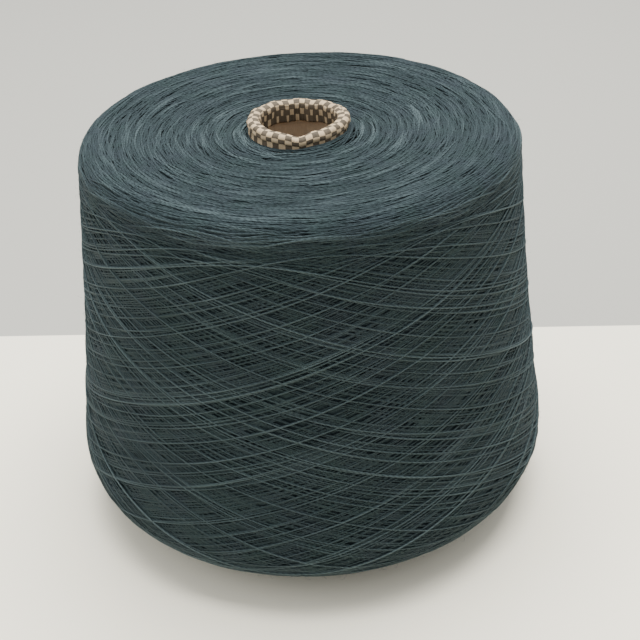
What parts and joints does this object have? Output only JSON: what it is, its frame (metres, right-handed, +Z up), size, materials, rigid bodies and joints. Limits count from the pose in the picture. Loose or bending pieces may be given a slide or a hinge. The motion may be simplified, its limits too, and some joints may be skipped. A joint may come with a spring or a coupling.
{
  "type": "cone of knitting yarn",
  "caption": "Cross-wound package of dark teal yarn on a tapered paper cone with a rolled, printed nose and a through bore for a creel peg.",
  "frame": {"origin": "centre of the cone's base circle, in the plane of its base edge", "axes": "+Z up along the cone's axis towards the nose; +X and +Y in the base plane, with the cover ply's seam near +X"},
  "size_m": [0.2, 0.2, 0.17],
  "materials": {
    "kraft_liner": "plain brown kraft paper, matt, with fine fibres",
    "grey_board": "grey-brown recycled board, raw cut edges",
    "printed_paper": "cover paper with a small cream and taupe check print, slightly creased, faint sheen",
    "yarn": "matt dark teal spun yarn about 0.7 mm thick, slightly hairy"
  },
  "bodies": {
    "root": {"liner_ply": "kraft_liner", "inner_board_ply": "grey_board", "outer_board_ply": "grey_board", "printed_cover_ply": "printed_paper", "yarn_package": "yarn", "reserve_tail": "yarn"}
  },
  "joints": []
}
